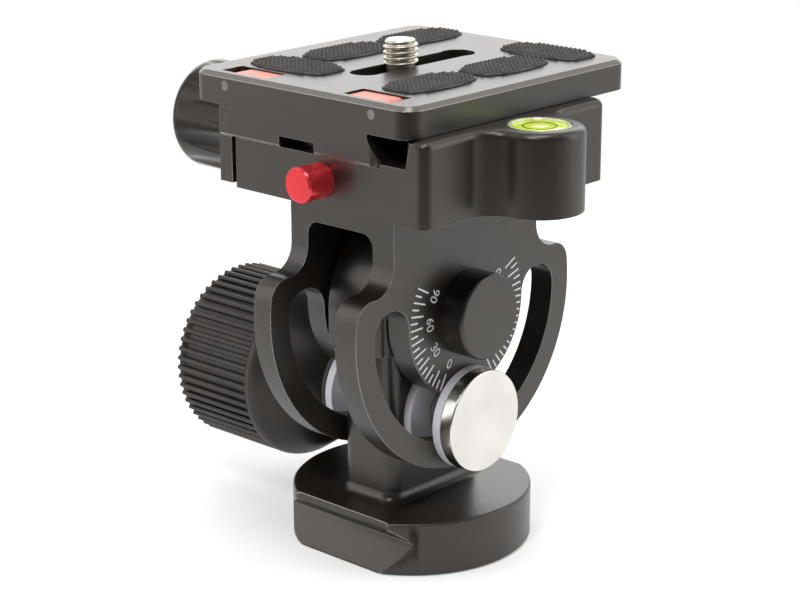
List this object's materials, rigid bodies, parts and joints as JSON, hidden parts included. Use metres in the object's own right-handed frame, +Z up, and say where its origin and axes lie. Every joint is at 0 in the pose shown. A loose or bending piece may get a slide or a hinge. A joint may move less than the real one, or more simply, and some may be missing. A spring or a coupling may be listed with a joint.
{
  "type": "monopod tilt head",
  "caption": "Black tilt head for a monopod: slotted fork with hand-knob brake on a round dovetail base, jaw clamp with level and red release, and a ribbed camera plate with screw.",
  "frame": {"origin": "centre of the base's underside, at the mouth of the monopod thread", "axes": "+X along the tilt axis towards the steel bolt head and the level, -Y to the front with the red button, +Z up"},
  "size_m": [0.0905, 0.0653, 0.0956],
  "materials": {
    "black_metal": "satin black anodised",
    "knob_plastic": "soft matte",
    "pad_rubber": "matte ribbed",
    "steel": "turned",
    "brass": "turned",
    "nylon": "smooth",
    "red_metal": "red anodised",
    "red_plastic": "satin",
    "level_liquid": "clear gloss"
  },
  "bodies": {
    "base": {"base_stem": "black_metal", "thread_bush": "steel", "pivot_bush_left": "brass", "pivot_bush_right": "brass", "clamp_bolt": "steel", "bolt_washer": "nylon", "fork_washer_left": "nylon", "fork_washer_right": "nylon"},
    "knob_washer": {"knob_washer": "nylon"},
    "tilt_knob": {"tilt_knob": "knob_plastic", "tilt_knob_insert": "brass"},
    "yoke": {"yoke": "black_metal", "pivot_axle": "steel", "pivot_cap_left": "black_metal", "pivot_cap_right": "black_metal", "clamp_body": "black_metal", "yoke_screws": "steel", "level_cup": "nylon", "level_vial": "level_liquid", "jaw_springs": "steel", "button_spring": "steel"},
    "jaw": {"moving_jaw": "black_metal", "jaw_guides": "steel"},
    "jaw_knob": {"jaw_knob": "black_metal", "jaw_screw": "steel"},
    "release_button": {"release_button": "red_metal"},
    "safety_pin": {"safety_pin": "steel"},
    "plate": {"camera_plate": "black_metal", "pad_front_left": "pad_rubber", "pad_mid_left": "pad_rubber", "pad_rear_left": "pad_rubber", "pad_front_right": "pad_rubber", "pad_mid_right": "pad_rubber", "pad_rear_right": "pad_rubber", "stop_pin_left": "steel", "stop_pin_right": "steel"},
    "stop_left": {"stop_left": "red_plastic"},
    "stop_right": {"stop_right": "red_plastic"},
    "screw_slider": {"screw_slider": "steel"},
    "camera_screw": {"camera_screw": "steel"}
  },
  "joints": [
    {"name": "tilt", "type": "hinge", "parent": "base", "child": "yoke", "pos_m": [0, 0, 0.0467], "axis": [1, 0, 0], "range_deg": [-90, 90]},
    {"name": "knob_washer_slide", "type": "slide", "parent": "base", "child": "knob_washer", "axis": [-1, 0, 0], "range_m": [0, 0.000626]},
    {"name": "tilt_knob_turn", "type": "hinge", "parent": "knob_washer", "child": "tilt_knob", "pos_m": [-0.03, 0, 0.0264], "axis": [-1, 0, 0], "range_deg": [0, 180]},
    {"name": "jaw_slide", "type": "slide", "parent": "yoke", "child": "jaw", "axis": [-1, 0, 0], "range_m": [0, 0.0025]},
    {"name": "jaw_knob_turn", "type": "hinge", "parent": "jaw", "child": "jaw_knob", "pos_m": [-0.03, -0.005, 0.0755], "axis": [-1, 0, 0], "range_deg": [0, 900]},
    {"name": "button_press", "type": "slide", "parent": "yoke", "child": "release_button", "axis": [0, 1, 0], "range_m": [0, 0.003], "stiffness_N_per_m": 300, "springref_m": -0.004},
    {"name": "pin_drop", "type": "slide", "parent": "yoke", "child": "safety_pin", "axis": [0, 0, -1], "range_m": [0, 0.0017]},
    {"name": "plate_slide", "type": "slide", "parent": "yoke", "child": "plate", "axis": [0, 1, 0], "range_m": [-0.01, 0.008]},
    {"name": "stop_left_fold", "type": "hinge", "parent": "plate", "child": "stop_left", "pos_m": [-0.0176, -0.0254, 0.08875], "axis": [0, -1, 0], "range_deg": [0, 90]},
    {"name": "stop_right_fold", "type": "hinge", "parent": "plate", "child": "stop_right", "pos_m": [0.0176, -0.0254, 0.08875], "axis": [0, 1, 0], "range_deg": [0, 90]},
    {"name": "screw_slide", "type": "slide", "parent": "plate", "child": "screw_slider", "axis": [0, 1, 0], "range_m": [-0.008, 0.0155]},
    {"name": "camera_screw_turn", "type": "hinge", "parent": "screw_slider", "child": "camera_screw", "pos_m": [0, -0.0032, 0.0935], "axis": [0, 0, 1], "continuous": true}
  ],
  "couplings": [
    {"joint": "knob_washer_slide", "follows": "tilt_knob_turn", "m_per_rad": 0.00019894},
    {"joint": "jaw_knob_turn", "follows": "jaw_slide", "rad_per_m": 6283},
    {"joint": "pin_drop", "follows": "button_press", "ratio": 0.56666}
  ]
}
